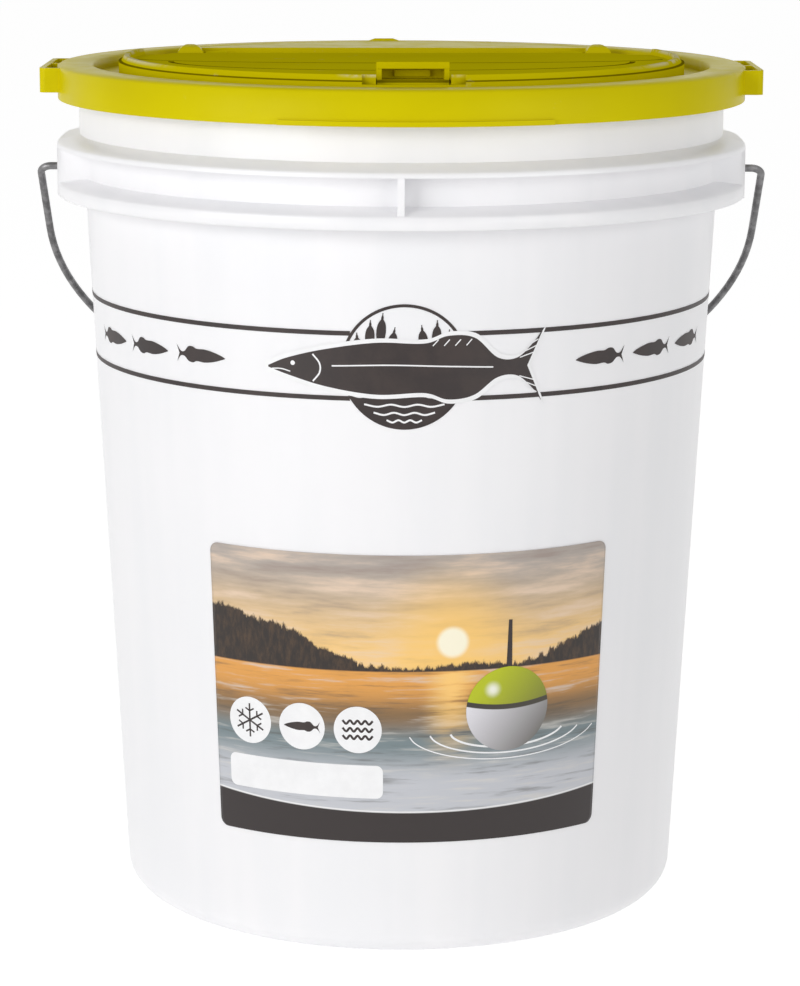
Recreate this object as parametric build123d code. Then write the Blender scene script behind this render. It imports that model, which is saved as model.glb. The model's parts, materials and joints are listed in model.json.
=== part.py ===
from build123d import *
import os
from math import asin, atan, cos, degrees, radians, sin, sqrt, tan

# Sizes are in millimetres. The bucket stands on Z = 0, its axis is Z, and its front faces -Y.

# Pail: a tapered drum with two flanges under a straight neck and a hooked rim
pail_height = 378.0
pail_foot_radius = 127.0
pail_taper = 0.0502
pail_wall = 2.3
pail_floor = 2.6
foot_corner = 11.0
foot_ring = 4.0
foot_recess = 3.0
foot_bevel = 6.0
neck_height = 28.3
neck_step = 2.0
flange_width = 10.8
flange_slope = 3.1
flange_plate = 2.2
flange_spacing = 18.1
lower_lip = 6.0
lip_wall = 2.0
rim_reach = 5.9
rim_drop = 8.0
rim_bevel = 1.2
edge_bevel = 0.7
rib_width = 3.0
ear_half_width = 29.5
ear_root_half_width = 44.7

# Bail: one bent wire that hooks into both ears, with a tube grip on its middle
wire_radius = 1.7
ear_hole_clearance = 0.3
ear_hole_depth = 6.2
pivot_below_neck = 16.7
bail_side_gap = 1.8
bail_bend_radius = 5.0
bail_straight = 49.0
bail_crown_drop = 13.4
bail_shoulder_radius = 60.0
grip_radius = 12.0
grip_wall = 2.5
grip_web = 14.0
grip_bevel = 1.2
grip_end_gap = 3.7
grip_bore_clearance = 0.35
rest_gap = 0.3

# Label: a thin printed sheet wrapped round the front
label_bottom = 53.0
label_top = 182.0
label_left_angle = 37.0
label_right_angle = 41.0
label_thickness = 0.25
label_corner = 4.0
glue_gap = 0.15

# Lid ring: it clips over the rim and holds the door in a sunk floor
lid_turn = 2.4
skirt_wall = 2.2
skirt_gap = 1.3
skirt_height = 14.9
skirt_bevel = 1.2
lid_plate = 2.2
bead_reach = 1.0
bead_height = 2.0
bead_rise = 2.7
land_width = 16.0
floor_drop = 5.0
opening_margin = 21.0
opening_cut = 48.0
pry_lip = 1.2
pry_lip_height = 2.1
pry_half_angle = 21.5
lug_reach = 5.9
lug_half_width = 31.0
lug_height = 10.8
lug_below_top = 0.7
lug_wall = 2.5
lug_corner = 3.0
deck_rise = 1.0
deck_gap = 4.0
back_boss_offset = -2.4
back_boss_width = 15.0
back_boss_top_width = 9.0
back_boss_rise = 1.0

# Door: a shallow tray that hinges at the back and closes the opening
groove_width = 11.4
door_wall = 2.2
door_plate = 2.0
door_panel_rise = 1.2
door_rim_rise = 3.9
door_edge_rise = 1.4
door_ledge = 1.1
door_rim_lean = 1.7
door_rim_width = 1.8
door_rim_foot = 1.0
door_step_back = 35.0
door_strip_drop = 0.8
door_lip = 1.8
door_lip_gap = 2.2
door_lip_drop = 1.2
groove_line_width = 2.6
groove_line_depth = 0.9
# Each groove is the front half of an ellipse: centre Y, half length along X, half length along Y
panel_grooves = ((-8.0, 104.0, 54.0), (11.0, 122.0, 29.0))
door_rib_pitch = 4.0
door_rib_width = 1.6
door_rib_margin = 7.0
door_rib_centre = 44.6
hinge_behind_cut = 10.0
hinge_below_top = 2.5
hinge_half_span = 97.0
ear_width = 13.0
ear_radius = 5.5
ear_top_round = 6.0
pin_radius = 1.5
pin_clearance = 0.2
pin_bite = 8.0
knuckle_radius = 2.2
knuckle_length = 10.0
hinge_side_gap = 0.6

# Latch: a moulded tab in a window at the door's front edge
latch_half_width = 15.15
latch_slit = 0.6
latch_notch_half_width = 21.65
latch_depth = 13.0
latch_top_rise = 8.8
latch_lip_height = 2.8
latch_rear_drop = 1.4
latch_lip_inset = 1.0
latch_wall = 2.0
latch_hood_wall = 3.0
latch_web_setback = 2.2
latch_web = 1.8
latch_rear_round = 2.4
latch_hang = 9.0
latch_barb = 2.2
latch_barb_height = 2.6
latch_barb_tip = 0.8
latch_pad_half_width = 7.5
latch_pad_height = 2.7
latch_pad_depth = 1.6

# Foam: a drop-in liner and its plug lid
foam_clearance = 1.0
foam_wall = 16.0
foam_floor = 20.0
foam_step = 2.5
foam_collar_height = 58.0
foam_edge_bevel = 1.5
flute_count = 20
flute_radius = 14.0
flute_depth = 2.2
foam_lid_gap = 7.0
foam_lid_height = 18.0
foam_lid_inset = 6.0
foam_plug_depth = 12.0
foam_web = 24.0
foam_recess_depth = 11.0
foam_recess_margin = 16.0
foam_recess_corner = 9.0
foam_lid_bevel = 4.0
foam_foot_bevel = 8.0
foam_inside_bevel = 7.0
foam_plug_clearance = 2.0

# Heights and radii that follow from the sizes above
cone_slant = sqrt(1 + pail_taper**2)
neck_bottom = pail_height - neck_height
lower_flange_top = neck_bottom - flange_spacing
neck_radius = pail_foot_radius + pail_taper * lower_flange_top + neck_step
neck_inner = neck_radius - pail_wall
collar_radius = neck_radius + flange_width
ear_face_x = sqrt(collar_radius**2 - ear_half_width**2)
rim_radius = neck_radius + rim_reach
pivot_z = neck_bottom - pivot_below_neck
lid_radius = rim_radius + skirt_gap + skirt_wall
lid_top = pail_height + lid_plate
lid_bottom = lid_top - skirt_height
land_inner = lid_radius - land_width
floor_z = lid_top - floor_drop
opening_radius = land_inner - opening_margin
opening_back = opening_radius - opening_cut
door_radius = land_inner - groove_width
panel_radius = door_radius - door_ledge - door_rim_lean - door_rim_width - door_rim_foot
hinge_y = opening_back + hinge_behind_cut
hinge_z = lid_top - hinge_below_top
panel_z = lid_top + door_panel_rise
strip_z = lid_top - door_strip_drop
lug_tip = lid_radius + lug_reach
bail_half_width = lug_tip + bail_side_gap + wire_radius
bail_reach = bail_straight + bail_half_width - bail_crown_drop
latch_lip_y = -(opening_radius - latch_lip_inset)
latch_bottom = panel_z - door_plate - latch_hang
foam_lid_top = latch_bottom - foam_lid_gap
foam_top = foam_lid_top - foam_lid_height


def cone_radius(z):
    """Outer radius of the tapered wall at height z."""
    return pail_foot_radius + pail_taper * z


def rounded_face(corners):
    """Closed face through corners (x, y, size). A size above zero is the radius of a tangent
    arc. A size below zero is a flat bevel that starts that far from the corner."""
    ends = []
    count = len(corners)
    for i, (x, y, size) in enumerate(corners):
        here = Vector(x, y)
        before = (Vector(*corners[i - 1][:2]) - here).normalized()
        after = (Vector(*corners[(i + 1) % count][:2]) - here).normalized()
        if size > 0:
            half = radians(before.get_angle(after)) / 2
            run = size / tan(half)
            crown = here + (before + after).normalized() * (size / sin(half) - size)
        else:
            run = -size
            crown = None
        ends.append((here + before * run, crown, here + after * run))
    edges = []
    for i, (start, crown, end) in enumerate(ends):
        following = ends[(i + 1) % count][0]
        if crown is not None:
            edges.append(ThreePointArc(start, crown, end))
        elif (end - start).length > 1e-6:
            edges.append(Line(start, end))
        if (following - end).length > 1e-6:
            edges.append(Line(end, following))
    return make_face(edges)


def turned(corners):
    """Solid of revolution about Z from corners given as (radius, z, round)."""
    return revolve(Plane.XZ * rounded_face(corners), Axis.Z)


def across(corners, half_width):
    """Prism along X, to half_width each way, of an outline given as (y, z, round)."""
    return extrude(Plane.YZ * rounded_face(corners), half_width, both=True)


def block(x0, x1, y0, y1, z0, z1):
    """Box between two corners."""
    middle = ((x0 + x1) / 2, (y0 + y1) / 2, (z0 + z1) / 2)
    return Pos(*middle) * Box(x1 - x0, y1 - y0, z1 - z0)


def drum(radius, z0, z1):
    """Cylinder about Z between two heights."""
    return Pos(0, 0, (z0 + z1) / 2) * Cylinder(radius, z1 - z0)


def both_sides(piece):
    """The piece and its mirror image at -X."""
    return piece + mirror(piece, Plane.YZ)


def inner_wall():
    """The pail's inner outline from the floor up, as (radius, z) points without rounds."""
    shoulder_low = lower_flange_top - flange_plate - 2 * neck_step
    shoulder_high = lower_flange_top + neck_step
    thickness = pail_wall * cone_slant
    return [
        (cone_radius(pail_floor + foot_recess) - thickness, pail_floor + foot_recess),
        (cone_radius(shoulder_low) - thickness, shoulder_low),
        (neck_inner, shoulder_high),
    ]


def make_pail():
    """The drum with its collar, whose edge is cut flat where the two ears stand."""
    foot_inner = pail_foot_radius - foot_corner - foot_ring
    plate_low = lower_flange_top - flange_plate
    lip_inner = collar_radius - lip_wall
    lip_under = plate_low - flange_slope * (lip_inner - neck_radius) / flange_width
    edge_low = lower_flange_top - flange_slope
    edge_high = neck_bottom - flange_slope
    lip_low = edge_low - lower_lip
    rim_under = pail_height - pail_wall
    rim_lip_inner = rim_radius - lip_wall
    (floor_r, floor_top), (low_r, low_z), (high_r, high_z) = inner_wall()
    pail = turned([
        (0, foot_recess, 0),
        (foot_inner - foot_recess, foot_recess, 0),
        (foot_inner, 0, 0),
        (pail_foot_radius, 0, foot_corner),
        (cone_radius(plate_low), plate_low, 0),
        (lip_inner, lip_under, 0),
        (lip_inner, lip_low, 0),
        (collar_radius, lip_low, -edge_bevel),
        (collar_radius, edge_low, -edge_bevel),
        (neck_radius, lower_flange_top, 0),
        (neck_radius, neck_bottom - flange_plate, 0),
        (collar_radius, edge_high - flange_plate, 0),
        (collar_radius, edge_high, -edge_bevel),
        (neck_radius, neck_bottom, 0),
        (neck_radius, rim_under, 0),
        (rim_lip_inner, rim_under, 0),
        (rim_lip_inner, pail_height - rim_drop, 0),
        (rim_radius, pail_height - rim_drop, 0),
        (rim_radius, pail_height, -rim_bevel),
        (neck_inner, pail_height, 0),
        (high_r, high_z, 0),
        (low_r, low_z, 0),
        (floor_r, floor_top, -foot_bevel),
        (0, floor_top, 0),
    ])
    pail += make_collar_ribs()
    lip = block(ear_face_x - lip_wall, ear_face_x, -ear_half_width, ear_half_width,
                lip_low, edge_low - flange_plate / 4)
    pail += both_sides(lip) + make_ears()
    reach = collar_radius + lip_wall
    return pail & block(-ear_face_x, ear_face_x, -reach, reach, -foot_recess, pail_height)


def between_flanges(outer):
    """Ring that fills the band between the flanges, sunk half a plate into each."""
    sink = flange_plate / 2
    inner = neck_radius - pail_wall / 2
    slope = flange_slope / flange_width
    drop_in = slope * (inner - neck_radius)
    drop_out = slope * (outer - neck_radius)
    return turned([
        (inner, lower_flange_top - sink - drop_in, 0),
        (outer, lower_flange_top - sink - drop_out, 0),
        (outer, neck_bottom - sink - drop_out, 0),
        (inner, neck_bottom - sink - drop_in, 0),
    ])


def make_ears():
    """Two blocks at +X and -X whose blind holes take the bail's ends."""
    root_x = sqrt(neck_radius**2 - ear_root_half_width**2)
    run = (ear_root_half_width - ear_half_width) / (ear_face_x - root_x)
    beyond = flange_width
    plan = make_face(Polyline(
        (root_x - beyond, -ear_root_half_width - run * beyond),
        (ear_face_x + beyond, -ear_half_width + run * beyond),
        (ear_face_x + beyond, ear_half_width - run * beyond),
        (root_x - beyond, ear_root_half_width + run * beyond),
        close=True,
    ))
    prism = extrude(Pos(0, 0, lower_flange_top - flange_spacing) * plan, 3 * flange_spacing)
    ear = between_flanges(collar_radius) & prism
    hole = Cylinder(wire_radius + ear_hole_clearance, 2 * ear_hole_depth)
    ear -= Pos(ear_face_x, 0, pivot_z) * Rot(0, 90, 0) * hole
    return both_sides(ear)


def make_collar_ribs():
    """Two upright ribs in the band, at the front and the back."""
    band = between_flanges(collar_radius - lip_wall / 2)
    reach = collar_radius + lip_wall
    slab = block(-rib_width / 2, rib_width / 2, -reach, reach, 0, pail_height)
    return band & slab


def make_label():
    """Sheet of even thickness on the cone, with its corners rounded."""
    inner_low = cone_radius(label_bottom) + glue_gap
    inner_high = cone_radius(label_top) + glue_gap
    section = rounded_face([
        (inner_low, label_bottom, 0),
        (inner_low + label_thickness, label_bottom, 0),
        (inner_high + label_thickness, label_top, 0),
        (inner_high, label_top, 0),
    ])
    sheet = revolve(Plane.XZ * section, Axis.Z, label_left_angle + label_right_angle)
    sheet = Rot(0, 0, -90 - label_left_angle) * sheet
    ends = ((-label_left_angle, -1), (label_right_angle, 1))
    for angle, side in ends:
        for z, up in ((label_bottom, -1), (label_top, 1)):
            sheet -= label_corner_cut(angle, side, z, up)
    return sheet


def label_corner_cut(angle, side, z, up):
    """What a round takes off one corner of the label, at an angle from the front."""
    r = label_corner
    middle = cone_radius(z)
    square = Pos(0, side * r, up * r) * Box(4 * r, 2 * r, 2 * r)
    square -= Rot(0, 90, 0) * Cylinder(r, 6 * r)
    centre_angle = angle - 90 - side * degrees(r / middle)
    return Rot(0, 0, centre_angle) * Pos(middle, 0, z - up * r) * square


def bail_shoulder_x():
    """Half the length of the bail's straight middle, where the shoulder arcs are tangent."""
    side = bail_half_width - bail_shoulder_radius
    return sqrt(side**2 - (side - bail_crown_drop) ** 2)


def bail_rest_angle():
    """Angle from straight down at which the grip rests against the pail's back wall."""
    reach_needed = cone_radius(pivot_z) + (grip_radius + rest_gap) * cone_slant
    return degrees(asin(reach_needed / (bail_reach * cone_slant)) - atan(pail_taper))


def bail_place():
    """Turns a piece drawn in the bail's plane, reach along +Y, to its rest behind the pail."""
    return Pos(0, 0, pivot_z) * Rot(bail_rest_angle() - 90, 0, 0)


def make_bail_wire():
    """Hooked ends, straight legs, a large arc and shoulder arcs to a straight middle."""
    w = bail_half_width
    start_x = ear_face_x - ear_hole_depth + rest_gap
    shoulder_x = bail_shoulder_x()
    shoulder_y = bail_reach - bail_shoulder_radius
    scale = w / (w - bail_shoulder_radius)
    meet = (shoulder_x * scale, bail_straight + (shoulder_y - bail_straight) * scale)
    lean = atan((meet[1] - bail_straight) / meet[0]) / 2
    leg_middle = (w * cos(lean), bail_straight + w * sin(lean))
    turn = (radians(90) + 2 * lean) / 2
    crown = (
        shoulder_x + bail_shoulder_radius * cos(turn),
        shoulder_y + bail_shoulder_radius * sin(turn),
    )
    bend = bail_bend_radius
    dip = bend * (1 - cos(radians(45)))
    half = [
        Line((start_x, 0), (w - bend, 0)),
        ThreePointArc((w - bend, 0), (w - dip, dip), (w, bend)),
        Line((w, bend), (w, bail_straight)),
        ThreePointArc((w, bail_straight), leg_middle, meet),
        ThreePointArc(meet, crown, (shoulder_x, bail_reach)),
    ]
    middle = Line((shoulder_x, bail_reach), (-shoulder_x, bail_reach))
    right = Curve() + half
    path = Wire((right + middle + mirror(right, Plane.YZ)).edges())
    section = Plane((start_x, 0, 0), z_dir=(1, 0, 0)) * Circle(wire_radius)
    return bail_place() * sweep(section, path=path)


def make_bail_grip():
    """Open-ended tube carried on the wire by a web at its middle."""
    half = bail_shoulder_x() - grip_end_gap
    bore = wire_radius + grip_bore_clearance
    inner = grip_radius - grip_wall
    corners = [
        (bore, -grip_web / 2, 0),
        (inner, -grip_web / 2, 0),
        (inner, -half, 0),
        (grip_radius, -half, -grip_bevel),
        (grip_radius, half, -grip_bevel),
        (inner, half, 0),
        (inner, grip_web / 2, 0),
        (bore, grip_web / 2, 0),
    ]
    grip = Rot(0, 90, 0) * turned(corners)
    return bail_place() * Pos(0, bail_reach, 0) * grip


def rear_ear(radius, x0, x1, foot):
    """Ear from x0 to x1: half round about the hinge line, and domed seen from the front."""
    side_view = across([
        (hinge_y - radius, foot, 0),
        (hinge_y + radius, foot, 0),
        (hinge_y + radius, hinge_z + radius, radius * 0.999),
        (hinge_y - radius, hinge_z + radius, radius * 0.999),
    ], x1)
    front_view = Plane.XZ * rounded_face([
        (x0, foot, 0),
        (x1, foot, 0),
        (x1, hinge_z + radius, ear_top_round),
        (x0, hinge_z + radius, ear_top_round),
    ])
    return side_view & extrude(front_view, -2 * hinge_y)


def lug(tip, half_width, low, high):
    """One side lug: a box with two pockets, open above and below, outside the skirt."""
    shell = block(lid_radius - 2 * lug_reach, tip, -half_width, half_width, low, high)
    shell = fillet(shell.edges().filter_by(Axis.Z).group_by(Axis.X)[-1], lug_corner)
    for side in (-1, 1):
        y0, y1 = sorted((side * lug_wall / 2, side * (half_width - lug_wall)))
        pocket = block(lid_radius - 2 * lug_reach, tip - lug_wall, y0, y1, low - 1, high + 1)
        shell -= pocket - drum(lid_radius, low - 2, high + 2)
    return shell - drum(lid_radius - skirt_wall / 2, low - 1, high + 1)


def make_lid_ring():
    """Skirt, flat land and sunk floor with its opening, with the deck, ears, lugs and pry lip."""
    skirt_inner = lid_radius - skirt_wall
    land_outer = land_inner + skirt_wall
    floor_under = floor_z - lid_plate
    bead_low = lid_bottom + bead_height
    bead_mid = bead_low + bead_rise / 2
    ring = turned([
        (lid_radius, lid_bottom, 0),
        (lid_radius, lid_top, -skirt_bevel),
        (land_inner, lid_top, -edge_bevel),
        (land_inner, floor_z, 0),
        (opening_radius, floor_z, 0),
        (opening_radius, floor_under, 0),
        (land_outer, floor_under, 0),
        (land_outer, pail_height, 0),
        (skirt_inner, pail_height, 0),
        (skirt_inner, bead_low + bead_rise, 0),
        (skirt_inner - bead_reach, bead_mid, 0),
        (skirt_inner, bead_low, 0),
        (skirt_inner, lid_bottom, 0),
    ])
    behind = block(-lid_radius, lid_radius, opening_back, lid_radius, floor_under, floor_z)
    ring += drum(land_inner + skirt_wall / 2, floor_under, floor_z) & behind
    ring += make_deck()
    foot = floor_z - lid_plate / 2
    ear_inner = hinge_half_span - ear_width / 2
    ear = rear_ear(ear_radius, ear_inner, ear_inner + ear_width, foot)
    ring += both_sides(ear & drum(land_inner + skirt_wall / 2, 0, lid_top + ear_radius * 2))
    socket = Pos(0, hinge_y, hinge_z) * Rot(0, 90, 0)
    socket_end = ear_inner + pin_bite + pin_clearance
    ring -= socket * Cylinder(pin_radius + pin_clearance, 2 * socket_end)
    lug_high = lid_top - lug_below_top
    lugs = both_sides(lug(lug_tip, lug_half_width, lug_high - lug_height, lug_high))
    pry_ring = drum(lid_radius + pry_lip, lid_bottom, lid_bottom + pry_lip_height)
    pry_ring -= drum(skirt_inner + skirt_wall / 2, lid_bottom - 1, lid_top)
    reach = lid_radius + 2 * pry_lip
    spread = reach * tan(radians(pry_half_angle))
    wedge = make_face(Polyline((0, 0), (spread, -reach), (-spread, -reach), close=True))
    ring += pry_ring & extrude(wedge, lid_top)
    # The lugs stay square to the bail, which swings past them
    return Rot(0, 0, lid_turn) * (ring + make_back_boss()) + lugs


def make_back_boss():
    """Low boss with sloping ends on the land's outer edge at the back."""
    base = back_boss_width / 2
    top = back_boss_top_width / 2
    outline = make_face(Polyline(
        (-base, lid_top - lid_plate / 2),
        (base, lid_top - lid_plate / 2),
        (base, lid_top),
        (top, lid_top + back_boss_rise),
        (-top, lid_top + back_boss_rise),
        (-base, lid_top),
        close=True,
    ))
    boss = extrude(Plane.XZ * Pos(back_boss_offset, 0) * outline, -lid_radius)
    ring = drum(lid_radius - skirt_bevel, 0, 2 * lid_top)
    return boss & (ring - drum(lid_radius - skirt_bevel - skirt_wall, 0, 2 * lid_top))


def make_deck():
    """Raised fixed deck behind the hinge, hollow underneath."""
    front = hinge_y + deck_gap
    top = lid_top + deck_rise
    under = floor_z - lid_plate
    reach = door_radius + door_wall
    deck = drum(door_radius, under, top) & block(-reach, reach, front, reach, under, top)
    hollow = drum(door_radius - door_wall, 0, top - lid_plate)
    hollow &= block(-reach, reach, front + door_wall, reach, 0, top - lid_plate)
    return deck - hollow


def panel_groove(centre_y, half_x, half_y):
    """Shallow groove in the door's panel: the front half of an ellipse's outline."""
    outer = Ellipse(half_x + groove_line_width / 2, half_y + groove_line_width / 2)
    inner = Ellipse(half_x - groove_line_width / 2, half_y - groove_line_width / 2)
    band = extrude(outer - inner, 2 * groove_line_depth)
    band = Pos(0, centre_y, panel_z - groove_line_depth) * band
    front = block(-door_radius, door_radius, -door_radius, centre_y, 0, 2 * panel_z)
    return band & front & drum(panel_radius - groove_line_width, 0, 2 * panel_z)


def make_door():
    """Shallow tray: a round panel inside a raised rim, and a lower strip along the hinge."""
    wall_inner = door_radius - door_wall
    rim_z = lid_top + door_rim_rise
    edge_z = lid_top + door_edge_rise
    rim_foot = door_radius - door_ledge
    crest_outer = rim_foot - door_rim_lean
    crest_inner = crest_outer - door_rim_width
    under = panel_z - door_plate
    strip_under = strip_z - door_plate
    reach = 2 * door_radius
    back = hinge_y - deck_gap
    front = turned([
        (0, floor_z, 0),
        (door_radius, floor_z, 0),
        (door_radius, edge_z, 0),
        (rim_foot, edge_z, 0),
        (crest_outer, rim_z, 0),
        (crest_inner, rim_z, 0),
        (panel_radius, panel_z, 0),
        (0, panel_z, 0),
    ])
    front_hollow = turned([
        (0, 0, 0),
        (wall_inner, 0, 0),
        (wall_inner, edge_z - door_wall / 2, 0),
        (crest_inner + door_wall / 2, rim_z - door_plate, 0),
        (panel_radius + door_wall / 2, under, 0),
        (0, under, 0),
    ])
    door = front & block(-reach, reach, -reach, door_step_back, 0, rim_z)
    door += drum(door_radius, floor_z, strip_z) & block(-reach, reach, 0, back, 0, rim_z)
    door -= front_hollow & block(-reach, reach, -reach, door_step_back - door_plate, 0, rim_z)
    strip_hollow = drum(wall_inner, 0, strip_under)
    door -= strip_hollow & block(-reach, reach, 0, back - door_wall, 0, rim_z)
    door += make_door_lip(strip_under)
    for groove in panel_grooves:
        door -= panel_groove(*groove)
    door += make_door_ribs(strip_under, floor_z - door_lip_drop)
    door -= make_ear_notches()
    door += make_hinge_knuckles(back)
    return Rot(0, 0, lid_turn) * (door - make_latch_window())


def make_door_lip(strip_under):
    """Lip under the door that dips into the ring's opening, all round and along the cut."""
    outer = opening_radius - door_lip_gap
    back = opening_back - door_lip_gap
    low = floor_z - door_lip_drop
    high = panel_z - door_plate / 2
    lip = drum(outer, low, high) & block(-outer, outer, -outer, back, low, high)
    hollow = drum(outer - door_lip, low, high)
    hollow &= block(-outer, outer, -outer, back - door_lip, low, high)
    above_strip = block(-outer, outer, door_step_back - door_plate / 2, outer,
                        strip_under + door_plate / 2, high)
    return lip - hollow - above_strip


def make_door_ribs(top, low):
    """Two groups of three short ribs under the rear strip."""
    half = door_rib_width / 2
    start = door_step_back + door_rib_margin
    end = opening_back - door_rib_margin
    rib = block(-half, half, start, end, low, top + door_plate / 4)
    places = [door_rib_centre + step * door_rib_pitch for step in (-1, 0, 1)]
    return [Pos(side * x, 0, 0) * rib for side in (-1, 1) for x in places]


def make_ear_notches():
    """Room in the door's rear corners for the lid's ears."""
    side = ear_width / 2 + hinge_side_gap
    front = hinge_y - ear_radius - hinge_side_gap
    notch = block(hinge_half_span - side, door_radius, front, door_radius, 0, 2 * lid_top)
    return both_sides(notch)


def make_hinge_knuckles(back):
    """Round knuckles at the door's rear edge, each with a pin that enters an ear."""
    inner_face = hinge_half_span - ear_width / 2 - hinge_side_gap
    barrel = Cylinder(knuckle_radius, knuckle_length)
    axle = Pos(inner_face - knuckle_length / 2, hinge_y, hinge_z) * Rot(0, 90, 0)
    arm = block(inner_face - knuckle_length, inner_face, back - door_wall, hinge_y,
                hinge_z - knuckle_radius / 2, strip_z)
    pin_end = inner_face + hinge_side_gap + pin_bite
    pin_length = pin_end - inner_face + knuckle_length / 2
    pin = Pos(pin_end - pin_length / 2, hinge_y, hinge_z) * Rot(0, 90, 0)
    return both_sides(axle * barrel + arm + pin * Cylinder(pin_radius, pin_length))


def latch_rear():
    """Y of the latch tab's rear face."""
    return latch_lip_y + latch_depth


def make_latch_window():
    """Window for the latch tab, and the wider notch in the rim in front of it."""
    half = latch_half_width + latch_slit
    reach = 2 * door_radius
    window = block(-half, half, -reach, latch_rear() + latch_slit, 0, 2 * lid_top)
    notch = block(-latch_notch_half_width, latch_notch_half_width, -reach, -panel_radius,
                  lid_top, 2 * lid_top)
    front_wall = block(-half, half, -reach, -(door_radius - door_wall), 0, lid_top)
    return (window - front_wall) + notch


def make_latch():
    """Hooded tab: a lip for the finger, a back wall, cheeks, and a barb that hangs below."""
    top = lid_top + latch_top_rise
    rear = latch_rear()
    low = panel_z - door_plate
    web_front = latch_lip_y + latch_web_setback
    web_rear = web_front + latch_web
    cavity_back = rear - latch_hood_wall
    bottom = low - latch_hang
    barb_top = bottom + latch_barb_height
    lip_under = top - latch_lip_height
    tab = across([
        (latch_lip_y, top, 0),
        (rear, top - latch_rear_drop, latch_rear_round),
        (rear, low, 0),
        (web_rear, low, 0),
        (web_rear, bottom, 0),
        (web_front, bottom, 0),
        (web_front - latch_barb, barb_top - latch_barb_tip, 0),
        (web_front - latch_barb, barb_top, 0),
        (web_front, barb_top, 0),
        (web_front, low, 0),
        (latch_lip_y, low, 0),
        (latch_lip_y, panel_z, 0),
        (cavity_back, panel_z, 0),
        (cavity_back, lip_under, 0),
        (latch_lip_y, lip_under, 0),
    ], latch_half_width)
    sink = latch_wall / 4
    cheek = across([
        (latch_lip_y + sink, lip_under + sink, 0),
        (rear - sink, lip_under + sink, 0),
        (rear - sink, low + sink, 0),
        (latch_lip_y + sink, low + sink, 0),
    ], latch_wall / 2)
    tab += both_sides(Pos(latch_half_width - latch_wall / 2, 0, 0) * cheek)
    pad_low = panel_z + latch_wall / 2
    pad_front = cavity_back - latch_pad_depth
    tab += block(-latch_pad_half_width, latch_pad_half_width, pad_front, cavity_back + sink,
                 pad_low, pad_low + latch_pad_height)
    clear = opening_radius - latch_slit
    outside = drum(2 * clear, 0, low) - drum(clear, 0, low)
    return Rot(0, 0, lid_turn) * (tab - outside)


def foam_outline():
    """Outer outline of the liner: it follows the pail's inner wall, with a stepped collar."""
    (floor_r, floor_top), (low_r, low_z), (high_r, high_z) = inner_wall()
    slope = (low_r - floor_r) / (low_z - floor_top)
    collar_z = foam_top - foam_collar_height
    collar_r = floor_r + slope * (collar_z - floor_top) - foam_clearance
    return [
        (floor_r - foam_clearance - foam_step, floor_top, -foam_foot_bevel),
        (collar_r - foam_step, collar_z, 0),
        (collar_r, collar_z + foam_step, 0),
        (low_r - foam_clearance, low_z, 0),
        (high_r - foam_clearance, high_z, 0),
        (high_r - foam_clearance, foam_top, -foam_edge_bevel),
    ]


def foam_mouth():
    """Inner radius of the liner at its top."""
    return neck_inner - foam_clearance - foam_wall


def make_foam_liner():
    """Thick cup whose outside carries upright flutes below the collar."""
    outline = foam_outline()
    low_r, floor_top = outline[0][:2]
    high_r, high_z = outline[1][:2]
    inside_floor = floor_top + foam_floor
    bottom_r = low_r - foam_wall + foam_step
    body = turned([(0, floor_top, 0)] + outline + [
        (foam_mouth(), foam_top, -foam_edge_bevel),
        (bottom_r, inside_floor, -foam_inside_bevel),
        (0, inside_floor, 0),
    ])
    lean = atan((high_r - low_r) / (high_z - floor_top))
    shift = flute_radius - flute_depth
    length = high_z - floor_top
    flute = Pos(low_r + shift, 0, floor_top - foam_step) * Rot(0, degrees(lean), 0)
    flute *= Pos(0, 0, length / 2) * Cylinder(flute_radius, length)
    flutes = [Rot(0, 0, 360 * i / flute_count) * flute for i in range(flute_count)]
    return body - flutes


def make_foam_lid():
    """Plug lid with three finger recesses between the arms of a raised web."""
    outer = neck_inner - foam_clearance - foam_lid_inset
    plug = foam_mouth() - foam_plug_clearance
    lid = turned([
        (0, foam_top - foam_plug_depth, 0),
        (plug, foam_top - foam_plug_depth, -foam_lid_bevel),
        (plug, foam_top, 0),
        (outer, foam_top, 0),
        (outer, foam_lid_top, -foam_lid_bevel),
        (0, foam_lid_top, 0),
    ])
    dish = Circle(outer - foam_recess_margin)
    arm = Pos(outer / 2, 0) * Rectangle(outer, foam_web)
    web = [Rot(0, 0, 90 + 120 * i) * arm for i in range(3)]
    lobes = dish - web
    lobes = fillet(lobes.vertices(), foam_recess_corner)
    cut = extrude(Pos(0, 0, foam_lid_top - foam_recess_depth) * lobes, 2 * foam_recess_depth)
    return lid - cut


pieces = {
    "bucket_body": make_pail(),
    "product_label": make_label(),
    "bail_wire": make_bail_wire(),
    "bail_grip": make_bail_grip(),
    "lid_ring": make_lid_ring(),
    "lid_door": make_door(),
    "latch_tab": make_latch(),
    "foam_liner": make_foam_liner(),
    "foam_liner_lid": make_foam_lid(),
}

os.makedirs("parts", exist_ok=True)
for name, piece in pieces.items():
    piece.label = name
    export_step(piece, f"parts/{name}.step")
    print(name, "volume", round(piece.volume), "solids", len(piece.solids()))
print("bail rest angle", round(bail_rest_angle(), 3), "half width", round(bail_half_width, 3))
print("bail reach", round(bail_reach, 3), "pivot height", round(pivot_z, 3))
print("hinge line y", round(hinge_y, 3), "z", round(hinge_z, 3))
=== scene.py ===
# %% [markdown]
# An insulated bait bucket: a white moulded pail with a foam liner, a wire bail
# and a lime lid with a door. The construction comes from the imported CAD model,
# which is loaded here as a fixed frame. This lesson gives it its looks: smooth
# moulded surfaces, printed ink, a wrapped label, and materials made from nodes.

# %% Load the frame
import json
from math import pi, radians

import bmesh
import bpy
import numpy as np
from mathutils import Matrix, Vector

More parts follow.
